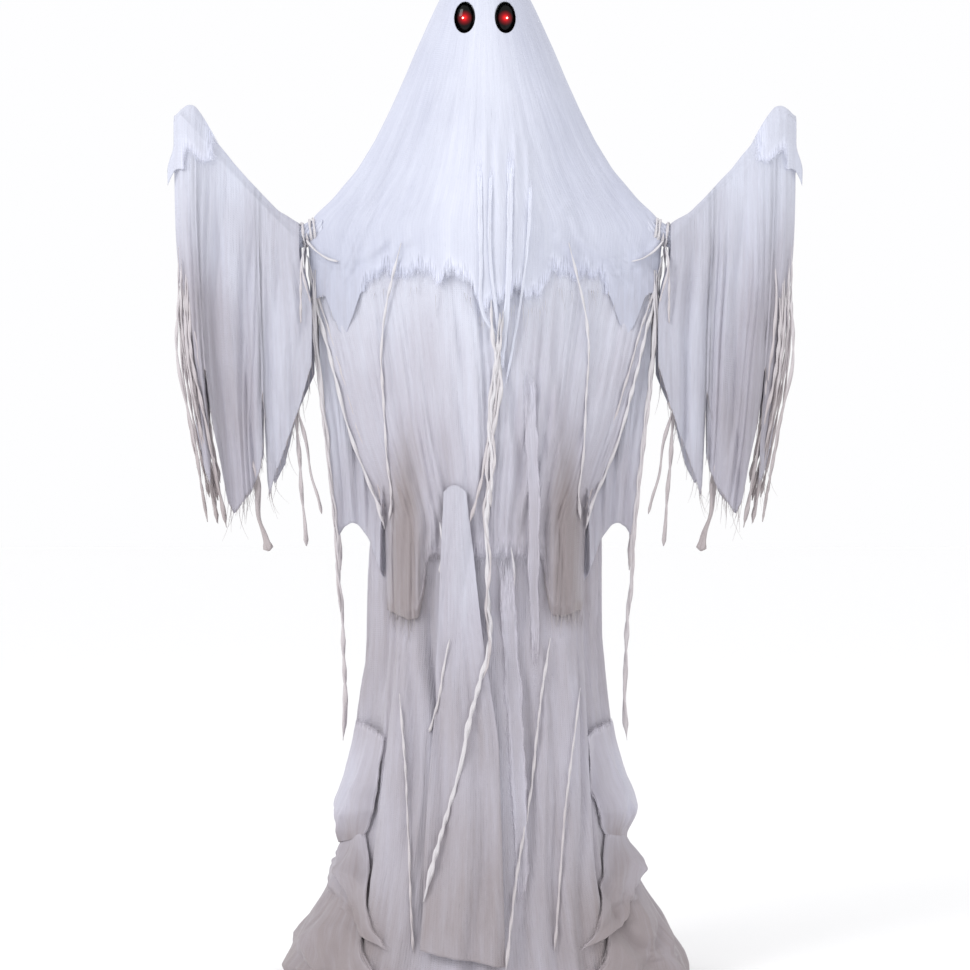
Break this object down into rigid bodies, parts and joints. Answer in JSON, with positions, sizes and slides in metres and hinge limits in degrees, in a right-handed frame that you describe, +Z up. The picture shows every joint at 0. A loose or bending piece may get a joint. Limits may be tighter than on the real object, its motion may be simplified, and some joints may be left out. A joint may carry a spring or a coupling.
{
  "type": "animated ghost figure",
  "caption": "Life-size rising ghost figure under torn gauze, with a telescoping lift, a turning head with lit eyes and swinging forearms.",
  "frame": {"origin": "on the floor under the mast's axis, midway between the feet", "axes": "+X to the right as seen from in front, -Y towards the viewer in front of it, +Z up"},
  "size_m": [1.264, 0.5372, 2.068],
  "materials": {
    "stand_steel": "satin",
    "zinc_steel": "satin",
    "arm_tube": "satin",
    "foot_rubber": "matte",
    "nylon": "satin",
    "black_abs": "matte",
    "grey_abs": "matte",
    "body_plastic": "matte",
    "eye_gloss": "gloss",
    "led": "gloss",
    "board": "satin",
    "pale_gauze": "matte",
    "robe_gauze": "matte",
    "stained_gauze": "matte"
  },
  "bodies": {
    "stand": {"base_rail_left": "stand_steel", "base_rail_right": "stand_steel", "foot_front_left": "foot_rubber", "foot_front_right": "foot_rubber", "foot_rear_left": "foot_rubber", "foot_rear_right": "foot_rubber", "cross_tube": "stand_steel", "mast_socket": "stand_steel", "outer_mast": "stand_steel", "lock_spring": "zinc_steel", "guide_bush": "nylon", "drive_bracket": "zinc_steel", "lift_gearbox": "grey_abs", "lift_motor": "zinc_steel", "control_box": "black_abs", "control_lid": "black_abs", "circuit_board": "board", "speaker": "grey_abs", "power_jack": "grey_abs"},
    "lock": {"lock_button": "zinc_steel"},
    "switch": {"mode_switch": "grey_abs"},
    "pinion": {"drive_pinion": "nylon", "pinion_shaft": "zinc_steel"},
    "mast": {"inner_mast": "zinc_steel", "mast_slider": "nylon", "lift_rack": "nylon", "chest_block": "grey_abs", "torso_front": "body_plastic", "torso_rear": "body_plastic", "head_motor": "black_abs", "neck_bearing": "nylon", "upper_arm_left": "arm_tube", "upper_arm_right": "arm_tube", "elbow_fork_left": "grey_abs", "elbow_fork_right": "grey_abs", "elbow_pin_left": "zinc_steel", "elbow_pin_right": "zinc_steel", "shroud": "pale_gauze", "robe": "robe_gauze", "side_drape_left": "pale_gauze", "side_drape_right": "pale_gauze", "side_bunch_left": "robe_gauze", "side_bunch_right": "robe_gauze", "front_panel": "pale_gauze", "centre_rope": "stained_gauze"},
    "head": {"neck_shaft": "zinc_steel", "head_hub": "grey_abs", "head_form": "body_plastic", "eye_lens_left": "eye_gloss", "eye_lens_right": "eye_gloss", "eye_light_left": "led", "eye_light_right": "led"},
    "forearm_left": {"elbow_tongue_left": "grey_abs", "forearm_tube_left": "arm_tube", "hand_form_left": "body_plastic", "sleeve_left": "pale_gauze"},
    "forearm_right": {"elbow_tongue_right": "grey_abs", "forearm_tube_right": "arm_tube", "hand_form_right": "body_plastic", "sleeve_right": "pale_gauze"}
  },
  "joints": [
    {"name": "mast_lift", "type": "slide", "parent": "stand", "child": "mast", "axis": [0, 0, 1], "range_m": [-0.54, 0], "deforming": ["robe", "side_drape_left", "side_drape_right", "side_bunch_left", "side_bunch_right", "front_panel", "centre_rope"]},
    {"name": "pinion_turn", "type": "hinge", "parent": "stand", "child": "pinion", "pos_m": [0, 0.04, 0.84], "axis": [1, 0, 0], "range_deg": [-2, 1722]},
    {"name": "head_turn", "type": "hinge", "parent": "mast", "child": "head", "pos_m": [0, 0, 1.72], "axis": [0, 0, 1], "range_deg": [-35, 35], "deforming": ["shroud"]},
    {"name": "forearm_left_swing", "type": "hinge", "parent": "mast", "child": "forearm_left", "pos_m": [-0.384, 0, 1.506], "axis": [0, 1, 0], "range_deg": [-15, 15], "deforming": ["sleeve_left"]},
    {"name": "forearm_right_swing", "type": "hinge", "parent": "mast", "child": "forearm_right", "pos_m": [0.384, 0, 1.506], "axis": [0, -1, 0], "range_deg": [-15, 15], "deforming": ["sleeve_right"]},
    {"name": "lock_press", "type": "slide", "parent": "stand", "child": "lock", "axis": [0, 1, 0], "range_m": [0, 0.005], "stiffness_N_per_m": 400, "deforming": ["lock_spring"]},
    {"name": "switch_slide", "type": "slide", "parent": "stand", "child": "switch", "axis": [1, 0, 0], "range_m": [0, 0.006]}
  ],
  "couplings": [
    {"joint": "pinion_turn", "follows": "mast_lift", "rad_per_m": -55.556}
  ]
}
